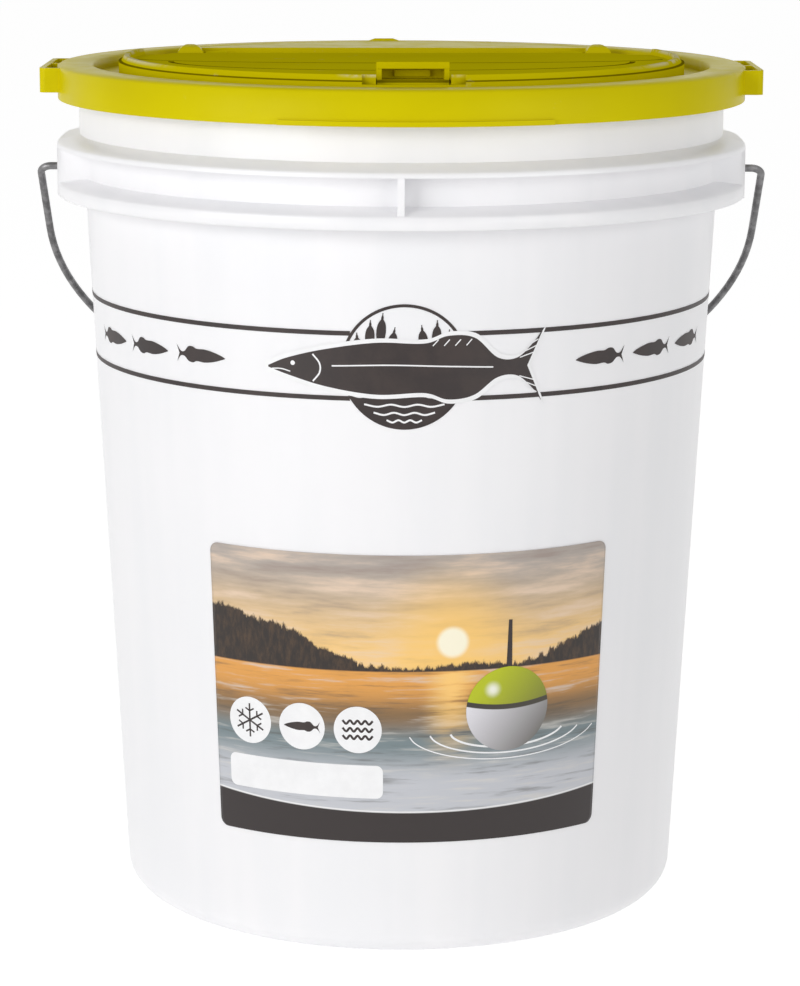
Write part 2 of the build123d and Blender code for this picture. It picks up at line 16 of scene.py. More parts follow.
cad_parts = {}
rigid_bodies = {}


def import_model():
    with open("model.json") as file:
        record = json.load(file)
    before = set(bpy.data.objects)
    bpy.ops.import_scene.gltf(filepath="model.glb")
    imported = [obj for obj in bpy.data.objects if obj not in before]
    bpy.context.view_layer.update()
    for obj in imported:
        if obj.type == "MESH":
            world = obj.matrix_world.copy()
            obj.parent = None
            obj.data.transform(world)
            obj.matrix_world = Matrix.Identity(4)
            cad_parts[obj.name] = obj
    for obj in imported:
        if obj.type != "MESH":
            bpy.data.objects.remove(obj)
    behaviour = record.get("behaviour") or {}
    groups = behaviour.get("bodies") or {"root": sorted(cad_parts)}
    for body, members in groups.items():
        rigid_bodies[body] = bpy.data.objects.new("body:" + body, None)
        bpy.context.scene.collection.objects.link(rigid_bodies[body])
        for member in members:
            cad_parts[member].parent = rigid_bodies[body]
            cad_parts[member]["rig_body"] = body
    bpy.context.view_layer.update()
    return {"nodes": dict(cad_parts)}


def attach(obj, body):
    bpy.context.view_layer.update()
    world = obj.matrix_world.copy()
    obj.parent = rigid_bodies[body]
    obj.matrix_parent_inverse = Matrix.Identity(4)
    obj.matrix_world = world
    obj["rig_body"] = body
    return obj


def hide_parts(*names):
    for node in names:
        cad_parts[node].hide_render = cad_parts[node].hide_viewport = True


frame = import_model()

MM = 0.001

# %% [markdown]
# The camera comes first. It was solved from the ellipses of the pail's foot,
# stripes, flanges and lid: a long lens, 1.5 m in front of the axis, looking
# 11.6 degrees down, and turned a fifth of a degree about its own line of sight.

# %% Camera
PHOTO_WIDTH = 800
FOCAL_PIXELS = 3293.0
CAMERA_DISTANCE = 1.5
CAMERA_HEIGHT = 0.48864
CAMERA_PITCH = 0.2021
CAMERA_ROLL = 0.0035
SENSOR_WIDTH = 36.0

camera_data = bpy.data.cameras.new("camera")
camera_data.sensor_fit = "HORIZONTAL"
camera_data.sensor_width = SENSOR_WIDTH
camera_data.lens = SENSOR_WIDTH * FOCAL_PIXELS / PHOTO_WIDTH
camera = bpy.data.objects.new("camera", camera_data)
bpy.context.scene.collection.objects.link(camera)
camera.matrix_world = (
    Matrix.Translation((0, -CAMERA_DISTANCE, CAMERA_HEIGHT))
    @ Matrix.Rotation(pi / 2 - CAMERA_PITCH, 4, "X")
    @ Matrix.Rotation(CAMERA_ROLL, 4, "Z")
)
bpy.context.scene.camera = camera
print("lens", round(camera_data.lens, 2), "mm")

# %% [markdown]
# A few helpers make every piece. Pieces could be modelled by hand or with
# modifiers, but a grid of points worked out with numpy shows its formula and comes
# out the same each time. A dressed copy is a CAD node's mesh with its doubled
# vertices merged, so that curved faces shade smoothly and real corners stay sharp.

# %% Mesh helpers
GRID_MERGE = 0.001 * MM
CAD_MERGE = 0.004 * MM
CORNER_ANGLE = 50.0


def new_object(name, mesh, material, body, stands_for=()):
    """Links a finished mesh, gives it its material and makes it ride on a body."""
    mesh.materials.append(material)
    piece = bpy.data.objects.new(name, mesh)
    bpy.context.scene.collection.objects.link(piece)
    if stands_for:
        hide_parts(*stands_for)
    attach(piece, body)
    return piece


def grid_mesh(name, grids):
    """One mesh from several grids of points, each shaped (rows, columns, 3).

    A cell of a grid becomes one four-sided face between neighbouring rows and
    columns. Each grid may bring a second array of UVs, shaped (rows, columns, 2).
    """
    points, faces, uvs = [], [], []
    start = 0
    for grid, uv in grids:
        rows, columns = grid.shape[:2]
        index = start + np.arange(rows * columns).reshape(rows, columns)
        cells = np.stack([index[:-1, :-1], index[:-1, 1:], index[1:, 1:], index[1:, :-1]], -1)
        points.append(grid.reshape(-1, 3))
        faces.append(cells.reshape(-1, 4))
        uvs.append(np.zeros((rows * columns, 2)) if uv is None else uv.reshape(-1, 2))
        start += rows * columns
    points, faces, uvs = np.concatenate(points), np.concatenate(faces), np.concatenate(uvs)
    mesh = bpy.data.meshes.new(name)
    mesh.from_pydata(points.tolist(), [], faces.tolist())
    layer = mesh.uv_layers.new(name="UVMap")
    layer.data.foreach_set("uv", uvs[faces.reshape(-1)].astype(np.float32).ravel())
    mesh.polygons.foreach_set("use_smooth", np.ones(len(faces), bool))
    work = bmesh.new()
    work.from_mesh(mesh)
    bmesh.ops.remove_doubles(work, verts=work.verts, dist=GRID_MERGE)
    work.to_mesh(mesh)
    work.free()
    return mesh


def dressed_copy(node, material):
    """A merged, smooth-shaded copy of a CAD node, with its real corners sharp."""
    mesh = frame["nodes"][node].data.copy()
    mesh.materials.clear()
    work = bmesh.new()
    work.from_mesh(mesh)
    bmesh.ops.remove_doubles(work, verts=work.verts, dist=CAD_MERGE)
    for edge in work.edges:
        edge.smooth = not (edge.is_manifold and edge.calc_face_angle(0) > radians(CORNER_ANGLE))
    for face in work.faces:
        face.smooth = True
    work.to_mesh(mesh)
    work.free()
    body = frame["nodes"][node]["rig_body"]
    return new_object(node + "_skin", mesh, material, body, (node,))


print("points nearer than", GRID_MERGE / MM, "mm are merged in new pieces")

# %% [markdown]
# Materials are node graphs. They could be wired by hand in the shader editor, or
# each made of dozens of lines. A small recorder keeps them short: each call adds
# one node and returns its output, so that a formula reads like a formula. The Mix
# node keeps several sets of sockets, and its colours are known by number.

# %% Node helpers
MIX_COLOUR_A, MIX_COLOUR_B, MIX_COLOUR_RESULT = 6, 7, 2


class Graph:
    """Adds nodes to one material and wires them as values are passed along."""

    def __init__(self, name):
        self.material = bpy.data.materials.new(name)
        self.material.use_nodes = True
        self.tree = self.material.node_tree
        self.shader = self.tree.nodes["Principled BSDF"]

    def plug(self, socket, value):
        """A value from another node becomes a link, and a plain one is set."""
        if isinstance(value, bpy.types.NodeSocket):
            self.tree.links.new(value, socket)
        else:
            socket.default_value = value

    def node(self, kind, output=0, settings=None, values=(), **inputs):
        """A new node, with its inputs given in order or by name; returns one output."""
        made = self.tree.nodes.new(kind)
        for key, value in (settings or {}).items():
            setattr(made, key, value)
        for key, value in [*enumerate(values), *inputs.items()]:
            self.plug(made.inputs[key], value)
        return made.outputs[output]

    def math(self, operation, *values, clamp=False):
        settings = {"operation": operation, "use_clamp": clamp}
        return self.node("ShaderNodeMath", settings=settings, values=values)

    def plus(self, a, b, clamp=False):
        return self.math("ADD", a, b, clamp=clamp)

    def minus(self, a, b):
        return self.math("SUBTRACT", a, b)

    def times(self, first, *others):
        for other in others:
            first = self.math("MULTIPLY", first, other)
        return first

    def size(self, a):
        """The number without its sign."""
        return self.math("ABSOLUTE", a)

    def length(self, a, b):
        """Length of the flat vector (a, b): the root of a squared plus b squared."""
        return self.math("SQRT", self.plus(self.times(a, a), self.times(b, b)))

    def axes(self, vector):
        """The vector's three numbers."""
        return self.node("ShaderNodeSeparateXYZ", Vector=vector).node.outputs

    def mix(self, share, a, b):
        """Colour a where share is 0 and colour b where it is 1."""
        made = self.tree.nodes.new("ShaderNodeMix")
        made.data_type = "RGBA"
        self.plug(made.inputs["Factor"], share)
        self.plug(made.inputs[MIX_COLOUR_A], a)
        self.plug(made.inputs[MIX_COLOUR_B], b)
        return made.outputs[MIX_COLOUR_RESULT]

    def step(self, value, low, high):
        """0 below low and 1 above high, with a smooth rise between them. Where high is
        the smaller number, it is 1 below high and 0 above low."""
        settings = {"interpolation_type": "SMOOTHSTEP"}
        made = self.node("ShaderNodeMapRange", settings=settings, Value=value)
        made.node.inputs["From Min"].default_value = low
        made.node.inputs["From Max"].default_value = high
        return made

    def noise(self, vector, scale, detail=3.0, roughness=0.5):
        return self.node("ShaderNodeTexNoise", Vector=vector, Scale=scale, Detail=detail,
                         Roughness=roughness)

    def stretched(self, vector, scale):
        """The vector with each axis multiplied by its own number."""
        return self.node("ShaderNodeMapping", Vector=vector, Scale=scale)

    def coordinate(self, kind):
        """A coordinate of the point: its Object place in metres, its UV or its Normal."""
        return self.node("ShaderNodeTexCoord", output=kind)

    def bump(self, height, distance, strength):
        made = self.node("ShaderNodeBump", Height=height, Distance=distance, Strength=strength)
        self.plug(self.shader.inputs["Normal"], made)

    def finish(self, **sockets):
        """Sets or links the shader's own sockets, with _ for a space in a name."""
        for key, value in sockets.items():
            self.plug(self.shader.inputs[key.replace("_", " ")], value)
        return self.material


def srgb(red, green, blue):
    """A colour written as on a screen, from 0 to 255, turned into linear light."""
    share = np.array([red, green, blue]) / 255.0
    linear = np.where(share <= 0.04045, share / 12.92, ((share + 0.055) / 1.055) ** 2.4)
    return (*[float(v) for v in linear], 1.0)


print("white at 250 is", round(srgb(250, 250, 250)[0], 3), "in linear light")

# %% [markdown]
# The pail is natural white polyethylene. It isn't quite even: the resin flows
# up the wall in faint streaks, and the gloss is a little duller in some broad
# patches than in others. So colour and roughness both vary, but barely: harder
# scuffs would look like stains on so pale a wall. A few grey specks of dust are
# caught in the skin. Thin white plastic also lets some light in and out again,
# which a little subsurface scattering gives.

# %% White pail plastic
PLASTIC_IOR = 1.5
STREAK_SCALE = (60, 60, 4)
PAIL_WHITES = srgb(243, 243, 245), srgb(247, 246, 248)
DUST_GREY = srgb(120, 116, 112)
DUST_SHARE = 0.3


def pail_plastic():
    """White that wavers with the mean of upright streaks and soft clouds. A speck of
    dust is a point of a cell pattern, kept only where a second noise is high."""
    g = Graph("pail plastic")
    place = g.coordinate("Object")
    streaks = g.noise(g.stretched(place, STREAK_SCALE), 1.0, 2.0)
    cloud = g.noise(place, 9.0, 2.0)
    mottled = g.plus(g.times(streaks, 0.5), g.times(cloud, 0.5))
    white = g.mix(g.step(mottled, 0.35, 0.65), *PAIL_WHITES)
    speck = g.node("ShaderNodeTexVoronoi", Vector=place, Scale=34.0, Randomness=1.0)
    rare = g.noise(place, 21.0, 0.0)
    dust = g.times(g.step(speck, 0.022, 0.010), g.step(rare, 0.56, 0.60))
    colour = g.mix(g.times(dust, DUST_SHARE), white, DUST_GREY)
    roughness = g.plus(0.28, g.times(cloud, 0.05))
    g.bump(g.noise(place, 260.0, 2.0), 0.03 * MM, 0.3)
    return g.finish(Base_Color=colour, Roughness=roughness, IOR=PLASTIC_IOR,
                    Subsurface_Weight=0.2, Subsurface_Radius=(1.0, 1.0, 1.0),
                    Subsurface_Scale=2.0 * MM)


pail_white = pail_plastic()
print("pail whites", [round(white[0], 3) for white in PAIL_WHITES], "in linear light")

# %% [markdown]
# The lid is lime plastic in two finishes. The ring is smooth and mirrors a
# little of the pale room at a low angle. The door is grained, so it stays a
# deep olive lime. Both are rubbed to a chalky white in faint scuffs where a hand
# or another lid scrapes them, and more strongly on the rim's crest at the two
# sides and round the latch, where the chalky white is part wear and part a
# painted highlight of the edges. Such marks could be painted by hand as a mask.
# Here they are found from the point's radius and height on the lid, so that they
# sit on the real edges. The low walls of the door's two panel lines, and the
# ledge round the door's rim, get a painted shade, the dark that a narrow groove
# holds. The walls are found from their height and from the way that they face,
# the ledge from its height and radius.

# %% Places on the lid
RIM_LEDGE_HEIGHT = 381.6 * MM
PANEL_LINE_HEIGHT = 380.95 * MM
RIM_CREST_HEIGHT = 384.1 * MM
RIM_CREST_RADIUS = 124.0 * MM
PANEL_RADIUS = 122.0 * MM


def height_band(g, height, middle, half):
    """1 within half of the middle height, 0 elsewhere, with a short ramp at the ends."""
    return g.step(g.size(g.minus(height, middle)), half * 1.2, half * 0.8)


def painted_groove_shade(g, z, radius):
    """Painted shade: 1 on the panel lines' upright walls and on the ledge round the rim, else 0.
    """
    upright = g.step(g.axes(g.coordinate("Normal"))["Z"], 0.8, 0.6)
    line = g.times(height_band(g, z, PANEL_LINE_HEIGHT, 0.6 * MM), upright,
                   g.step(radius, PANEL_RADIUS, PANEL_RADIUS - 2.0 * MM))
    ledge = g.times(height_band(g, z, RIM_LEDGE_HEIGHT, 0.3 * MM),
                    g.step(radius, RIM_CREST_RADIUS + 1.5 * MM, RIM_CREST_RADIUS + 2.2 * MM))
    return g.math("MAXIMUM", line, ledge)


def crest_wear_and_highlight(g, x, y, z, radius):
    """Chalky mark, part wear and part painted highlight: 1 on the rim's crest at its left and
    right ends and beside the latch.
    """
    crest = g.times(g.step(z, RIM_CREST_HEIGHT - 1.6 * MM, RIM_CREST_HEIGHT - 0.2 * MM),
                    g.step(radius, RIM_CREST_RADIUS - 3.0 * MM, RIM_CREST_RADIUS - 1.5 * MM))
    ends = g.step(g.size(x), 96.0 * MM, 118.0 * MM)
    by_latch = g.times(g.step(g.size(x), 28.0 * MM, 19.0 * MM),
                       g.step(y, -112.0 * MM, -118.0 * MM))
    return g.times(crest, g.math("MAXIMUM", ends, by_latch))


print("rim crest at", RIM_CREST_RADIUS / MM, "mm from the middle")

# %% Lime lid plastic
LIMES = srgb(207, 192, 3), srgb(214, 200, 5)
# painted shade for the groove walls and the rim's ledge
PAINTED_GROOVE_SHADE = srgb(104, 90, 0)
# chalky white, part wear and part painted highlight on the rim's crest
CHALK_AND_HIGHLIGHT = srgb(226, 219, 178)


def lid_plastic(name, roughness_low, specular, painted_shade_share):
    """Lime that wavers a little, darkened in the grooves by a painted shade in the share that
    the last argument gives, and chalky white: faint scuffs of wear all over, and on the
    rim's crest a mark that is part wear and part painted highlight. The same fine noise
    breaks up scrapes and gloss."""
    g = Graph(name)
    place = g.coordinate("Object")
    x, y, z = g.axes(place)
    radius = g.length(x, y)
    rubbed = g.noise(place, 75.0, 5.0, 0.7)
    lime = g.mix(g.step(g.noise(place, 14.0, 3.0), 0.3, 0.7), *LIMES)
    # painted shade: the groove walls and the rim's ledge turn dark olive
    shaded = g.mix(g.times(painted_groove_shade(g, z, radius), painted_shade_share), lime, PAINTED_GROOVE_SHADE)
    # chalky white: scuffs of wear, and on the crest ends and by the latch also a painted
    # highlight
    scraped_and_glinting = g.times(crest_wear_and_highlight(g, x, y, z, radius), g.step(rubbed, 0.38, 0.56))
    scuffed = g.times(g.step(rubbed, 0.64, 0.8), 0.3)
    wear_and_highlight = g.math("MAXIMUM", g.times(scraped_and_glinting, 0.85), scuffed)
    colour = g.mix(wear_and_highlight, shaded, CHALK_AND_HIGHLIGHT)
    roughness = g.plus(roughness_low, g.times(g.step(rubbed, 0.4, 0.8), 0.16))
    g.bump(g.noise(place, 420.0, 2.0), 0.05 * MM, 0.4)
    return g.finish(Base_Color=colour, Roughness=roughness, IOR=PLASTIC_IOR,
                    Specular_IOR_Level=specular)


ring_lime = lid_plastic("lime ring plastic", roughness_low=0.30, specular=0.04, painted_shade_share=0.0)
door_lime = lid_plastic("lime door plastic", roughness_low=0.50, specular=0.0, painted_shade_share=0.8)
print("limes", ring_lime.name, "and", door_lime.name)

# %% [markdown]
# The bail is plain steel wire under a dull zinc coat. The coat breaks the colour
# into a fine spangle and the shine into small patches. A picture of steel would
# stretch along so thin a wire, so each of the two is a noise in space.

# %% Bail steel
STEEL_GREYS = srgb(104, 103, 104), srgb(138, 137, 138)


def bail_steel():
    """Grey metal whose colour follows a fine noise and whose gloss follows a coarse one."""
    g = Graph("bail steel")
    place = g.coordinate("Object")
    spangle = g.noise(place, 240.0, 3.0)
    patches = g.noise(place, 45.0, 3.0)
    colour = g.mix(g.step(spangle, 0.35, 0.7), *STEEL_GREYS)
    roughness = g.plus(0.32, g.times(g.step(patches, 0.35, 0.7), 0.2))
    g.bump(spangle, 0.04 * MM, 0.5)
    return g.finish(Base_Color=colour, Metallic=0.85, Roughness=roughness)


wire_grey = bail_steel()
print("wire of", wire_grey.name)

# %% [markdown]
# The grip is a white plastic tube that hands have greyed a little. Where it is
# greyed, it is also duller, so one noise drives both.

# %% White grip plastic
GRIP_WHITES = srgb(240, 240, 240), srgb(226, 225, 221)


def grip_plastic():
    """Off-white that greys and dulls together where it was held."""
    g = Graph("grip plastic")
    place = g.coordinate("Object")
    handled = g.noise(place, 35.0, 4.0, 0.6)
    colour = g.mix(g.step(handled, 0.45, 0.75), *GRIP_WHITES)
    roughness = g.plus(0.38, g.times(handled, 0.2))
    g.bump(g.noise(place, 500.0, 2.0), 0.05 * MM, 0.4)
    return g.finish(Base_Color=colour, Roughness=roughness, IOR=PLASTIC_IOR)


grip_white = grip_plastic()
print("grip of", grip_white.name)

# %% [markdown]
# Expanded foam is a block of beads pressed together in a mould. Modelled beads
# would need many thousands of small balls. Each only shows as a small rounded
# cell, so a cell pattern drives both the bump and the faint grey line where two
# beads meet.

# %% Bead foam
BEADS_PER_METRE = 300.0
FOAM_GREYS = srgb(214, 216, 220), srgb(243, 244, 246)


def bead_foam():
    """Cells that rise from a faint grey seam: the height is the distance to the seam."""
    g = Graph("bead foam")
    settings = {"feature": "DISTANCE_TO_EDGE"}
    seam = g.node("ShaderNodeTexVoronoi", settings=settings, Scale=BEADS_PER_METRE,
                  Vector=g.coordinate("Object"))
    bead = g.step(seam, 0.0, 0.16)
    g.bump(bead, 0.22 * MM, 0.7)
    return g.finish(Base_Color=g.mix(bead, *FOAM_GREYS), Roughness=0.8)


foam_white = bead_foam()
print("materials", sorted(m.name for m in bpy.data.materials))

# %% [markdown]
# Now the CAD nodes get their finished skins. They could be modelled again over the
# old ones, but each skin here is the node's own shape, merged and shaded smooth,
# so that it still fits its neighbours exactly.

# %% Skins of the moulded pieces
skins = {
    "bucket_body": (pail_white, "pail_plastic"),
    "bail_wire": (wire_grey, "bail_steel"),
    "bail_grip": (grip_white, "grip_plastic"),
    "lid_ring": (ring_lime, "lid_plastic"),
    "lid_door": (door_lime, "lid_plastic"),
    "latch_tab": (door_lime, "lid_plastic"),
    "foam_liner": (foam_white, "foam"),
    "foam_liner_lid": (foam_white, "foam"),
}
for node, (material, slot_name) in skins.items():
    skin = dressed_copy(node, material)
    print(skin.name, len(skin.data.polygons), "faces")

# %% [markdown]
# The ink and the label lie on the pail's tapered wall. They could be an image on
# the wall, but real shapes stay sharp however near the camera comes. A flat
# drawing, x along the wall and z up, is wrapped onto it: x becomes an angle and z
# stays a height. A silhouette is one strip of faces between its upper and its
# lower outline, and a disc is a grid of rings and spokes, so every shape is a
# plain array.

# %% Drawing on the wall
FOOT_RADIUS = 127.0 * MM
TAPER = 0.0502


def on_wall(flat, middle_height, lift):
    """Wraps flat points (x, z) in millimetres onto the wall, at a lift above it.

    radius = foot radius + taper times height + lift, and the angle from the front
    is x divided by the wall's radius at the drawing's middle height.
    """
    height = flat[..., 1] * MM
    angle = flat[..., 0] * MM / (FOOT_RADIUS + TAPER * middle_height * MM)
    radius = FOOT_RADIUS + TAPER * height + lift * MM
    return np.stack([radius * np.sin(angle), -radius * np.cos(angle), height], -1)


def curve_through(points, count):
    """Smooth curve through points: a Catmull-Rom spline, sampled count times.

    Between two points the curve is a cubic whose slope at each point is half the
    step from the point before it to the point after it.
    """
    points = np.array(points, float)
    ends = np.concatenate([[2 * points[0] - points[1]], points, [2 * points[-1] - points[-2]]])
    at = np.linspace(0, len(points) - 1, count)
    i = np.minimum(at.astype(int), len(points) - 2)
    t = (at - i)[:, None]
    a, b, c, d = ends[i], ends[i + 1], ends[i + 2], ends[i + 3]
    return b + 0.5 * t * (c - a + t * (2 * a - 5 * b + 4 * c - d + t * (3 * (b - c) + d - a)))


def strip(lower, upper, rows=2):
    """Surface between two outlines: (1 - s) times the lower plus s times the upper."""
    s = np.linspace(0, 1, rows)[:, None, None]
    return (1 - s) * lower[None] + s * upper[None]


def disc(x, z, outer, inner=0.0, spokes=72, ring_step=2.0):
    """Disc or ring about (x, z) between two radii, as rings and spokes, clockwise."""
    rings = max(2, int((outer - inner) / ring_step) + 1)
    r, turn = np.meshgrid(np.linspace(inner, outer, rings),
                          np.radians(np.linspace(360, 0, spokes)), indexing="ij")
    return np.stack([x + r * np.cos(turn), z + r * np.sin(turn)], -1)


def print_on_wall(name, drawings, middle_height, lift, material):
    """One printed piece on the pail from several flat drawings."""
    grids = [(on_wall(drawing, middle_height, lift), None) for drawing in drawings]
    return new_object(name, grid_mesh(name, grids), material, "pail")


print("wall radius", FOOT_RADIUS / MM, "mm at the foot, growing by", TAPER, "mm a mm")

# %% [markdown]
# The pail's own print is one dark brown ink: two thin stripes all round and a
# round badge at the front. The badge here is a plain one, with reeds, water and
# a long fish that swims across it. Screen ink lies on top of the plastic as a
# thin matt film, so each print is a sheet a few hundredths of a millimetre out,
# and each later ink lies a little further out than the one below it.

# %% Printing inks
def ink(name, *shades):
    """Matt film whose colour wavers a little, as a screen print does."""
    g = Graph(name)
    place = g.coordinate("Object")
    film = g.noise(place, 90.0, 4.0, 0.6)
    g.bump(g.noise(place, 900.0, 2.0), 0.02 * MM, 0.3)
    return g.finish(Base_Color=g.mix(g.step(film, 0.35, 0.7), *shades),
                    Roughness=g.plus(0.38, g.times(film, 0.2)))


brown_ink = ink("dark brown ink", srgb(38, 28, 27), srgb(50, 39, 36))
white_ink = ink("white ink", srgb(240, 240, 241), srgb(246, 246, 247))
print("inks", brown_ink.name, "and", white_ink.name)

# %% Stripes round the pail
STRIPE_HEIGHTS = ((249.0, 251.0), (276.8, 278.8))
BADGE_X, BADGE_Z, BADGE_RADIUS = 1.7, 263.7, 26.8
MIDDLE = 264.0
FIRST_INK, SECOND_INK, THIRD_INK, FOURTH_INK = 0.06, 0.10, 0.14, 0.18


def stripe(low, high):
    """Band all round the wall that stops at the badge: the gap's half width is the
    length of the badge's chord at the stripe's height."""
    half_gap = np.sqrt(BADGE_RADIUS**2 - ((low + high) / 2 - BADGE_Z) ** 2)
    round_wall = 2 * pi * (FOOT_RADIUS / MM + TAPER * MIDDLE)
    x = np.linspace(BADGE_X + half_gap, BADGE_X - half_gap + round_wall, 260)
    return strip(np.stack([x, 0 * x + low], -1), np.stack([x, 0 * x + high], -1))


for name, heights in zip(("stripe_lower", "stripe_upper"), STRIPE_HEIGHTS):
    print_on_wall(name, [stripe(*heights)], MIDDLE, FIRST_INK, brown_ink)
print("stripes at", STRIPE_HEIGHTS, "mm")

# %% [markdown]
# The badge is a ring with water at its foot and reeds that rise out of it. Each
# part is one strip between two curves, so that a screen could print it flat.

# %% Badge ring, water and reeds
def water():
    """Foot of the badge: from the ring's lower arc up to a wavy line."""
    x = np.linspace(-24.0, 24.0, 49)
    low = -np.sqrt(np.maximum(BADGE_RADIUS**2 - x**2, 0))
    high = np.maximum(low, -12.5 + 0.9 * np.sin(x / 2.4))
    flat_low = np.stack([BADGE_X + x, BADGE_Z + low], -1)
    flat_high = np.stack([BADGE_X + x, BADGE_Z + high], -1)
    return strip(flat_low, flat_high)


def reed(foot_x, foot_z, lean, length):
    """Reed with a stem 1 mm wide and an oblong head: its half width is 0.5 mm, and
    up to 2 mm between two thirds and nine tenths of the way up."""
    t = np.linspace(0, 1, 40)
    head = 1.5 * np.sqrt(np.maximum(0, 1 - ((t - 0.78) / 0.13) ** 2))
    half = np.where(t > 0.97, 0.2, 0.5) + head
    x = BADGE_X + foot_x + lean * t**2
    z = BADGE_Z + foot_z + length * t
    return strip(np.stack([x + half, z], -1), np.stack([x - half, z], -1))


REED_FOOT = -13.0
REEDS = ((-19.0, -1.0, 27.5), (-15.0, 0.8, 33.0), (-11.0, 2.0, 36.0), (-7.0, 3.0, 30.0),
         (9.0, -2.0, 31.0), (13.0, 0.6, 33.0), (17.5, 1.2, 29.0))
reeds = [reed(foot_x, REED_FOOT, lean, length) for foot_x, lean, length in REEDS]
badge_ring = disc(BADGE_X, BADGE_Z, BADGE_RADIUS, BADGE_RADIUS - 1.3, spokes=120)
print_on_wall("badge_ring", [badge_ring, water()] + reeds, MIDDLE, FIRST_INK, brown_ink)
print("badge", 2 * BADGE_RADIUS, "mm across with", len(reeds), "reeds")

# %% [markdown]
# The fish is drawn once, a hundred units long, and then scaled, turned and
# widened as each print needs. Two smooth curves run along its back and belly, and
# the tail's notch pulls the middle of the last tenth inwards. The big fish lies on
# a slightly wider white one, which clears the stripes and the ring round it.

# %% Fish
NOSE_TO_TAIL = 100.0
BACK = ((0, 0), (8, 3.0), (22, 6.2), (40, 8.6), (58, 8.4), (66, 10.8),
        (76, 10.0), (84, 3.4), (91, 3.0), (97, 7.5), (101, 12.0))
BELLY = ((0, -0.6), (8, -2.8), (22, -6.0), (40, -8.2), (56, -7.6), (65, -9.8),
         (74, -8.6), (83, -3.2), (91, -2.8), (97, -7.0), (101, -11.5))
TAIL_START, NOTCH_DEPTH = 91, 6.0


def fish(x, z, length, fatness, facing=1.0, grow=0.0):
    """Side view of a fish: upper and lower outline from nose to tail, with a notch in
    the tail that is deepest on the middle line. grow widens it for a white edge."""
    upper, lower = curve_through(BACK, 90), curve_through(BELLY, 90)
    middle_x = (upper[:, 0] + lower[:, 0]) / 2
    swell = grow / length * NOSE_TO_TAIL
    upper = np.stack([middle_x, (upper[:, 1] + swell) * fatness], -1)
    lower = np.stack([middle_x, (lower[:, 1] - swell) * fatness], -1)
    body = strip(lower, upper, 9)
    s = np.linspace(-1, 1, 9)[:, None]
    notch = NOTCH_DEPTH * (1 - np.abs(s)) * np.clip((middle_x[None] - TAIL_START) / 10, 0, 1)
    across = middle_x[None] - notch - 50 + swell * (middle_x[None] / 50 - 1)
    flat = np.stack([across * facing, body[..., 1]], -1) * length / NOSE_TO_TAIL
    flat = flat + np.array([x, z])
    return flat if facing > 0 else flat[:, ::-1]


FISH_LENGTH, FISH_FATNESS = 118.0, 1.12
FISH_Z = BADGE_Z - 1.0
halo = fish(BADGE_X, FISH_Z, FISH_LENGTH, FISH_FATNESS, grow=1.6)
body = fish(BADGE_X, FISH_Z, FISH_LENGTH, FISH_FATNESS)
print_on_wall("badge_fish_edge", [halo], MIDDLE, SECOND_INK, white_ink)
print_on_wall("badge_fish", [body], MIDDLE, THIRD_INK, brown_ink)
print("fish", FISH_LENGTH, "mm long")

# %% [markdown]
# White lines give the fish its eye, gill and fins, and the water its ripples.
# A line could be cut out of the dark shape, but a thin white strip on top of it is
# simpler and looks the same. Three small fish swim between the stripes at each
# side of the badge.

# %% Fine lines on the fish
def line(points, width, count=40):
    """Line of even width along a smooth curve: each edge is the curve moved sideways
    by half the width, square to the curve's own direction."""
    middle = curve_through(points, count)
    along = np.gradient(middle, axis=0)
    along /= np.linalg.norm(along, axis=1, keepdims=True)
    side = np.stack([-along[:, 1], along[:, 0]], -1) * width / 2
    return strip(middle - side, middle + side)


def on_fish(x, z):
    """A place on the big fish, in hundredths of its length from nose and middle line."""
    return (BADGE_X + (x - 50) * FISH_LENGTH / NOSE_TO_TAIL,
            FISH_Z + z * FISH_FATNESS * FISH_LENGTH / NOSE_TO_TAIL)


def line_on_fish(places, width, count=40):
    return line([on_fish(x, z) for x, z in places], width, count)


eye = disc(*on_fish(9.5, 1.2), 1.0, spokes=24, ring_step=0.5)
gill = line_on_fish([(17, 4.4), (19.5, 1.5), (19.5, -1.5), (17, -4.4)], 0.7)
mouth = line_on_fish([(1.5, -1.0), (5, -0.9), (8.5, -1.6)], 0.5)
side_line = line_on_fish([(24, 0.8), (45, 1.4), (66, 0.9), (82, 0.3)], 0.6, 80)
fine = [eye, gill, mouth, side_line]
for start in (60.0, 64.0, 68.0, 72.0):
    fine.append(line_on_fish([(start, 7.6), (start + 2, 9.6)], 0.45, 6))
for bend in (0.0, 1.0, 2.0):
    for up in (1, -1):
        ray = [(92 + bend, up * (3.0 + 1.6 * bend)), (98 + bend * 0.5, up * (4.6 + 2.0 * bend))]
        fine.append(line_on_fish(ray, 0.45, 6))
print_on_wall("badge_fish_lines", fine, MIDDLE, FOURTH_INK, white_ink)
print("fine lines", len(fine))


# %% Ripples and small fish
def zigzag(x, z, reach, height, count):
    """Points from left to right that lie by turns above and below a level line."""
    across = np.linspace(-reach, reach, count)
    return [(x + a, z + height * (-1) ** i) for i, a in enumerate(across)]


RIPPLES = ((-16.5, 17.0), (-20.0, 13.0), (-23.2, 7.5))
ripples = [line(zigzag(BADGE_X, BADGE_Z + depth, reach, 0.5, 7), 0.8) for depth, reach in RIPPLES]
print_on_wall("badge_ripples", ripples, MIDDLE, SECOND_INK, white_ink)

SMALL_FISH_PLACES = (92.0, 125.0, 158.0)
small = [fish(side * x, 263.6, 27.0, 1.25, side) for side in (-1, 1) for x in SMALL_FISH_PLACES]
print_on_wall("small_fish", small, MIDDLE, FIRST_INK, brown_ink)
print("ripples", len(ripples), "small fish", len(small))

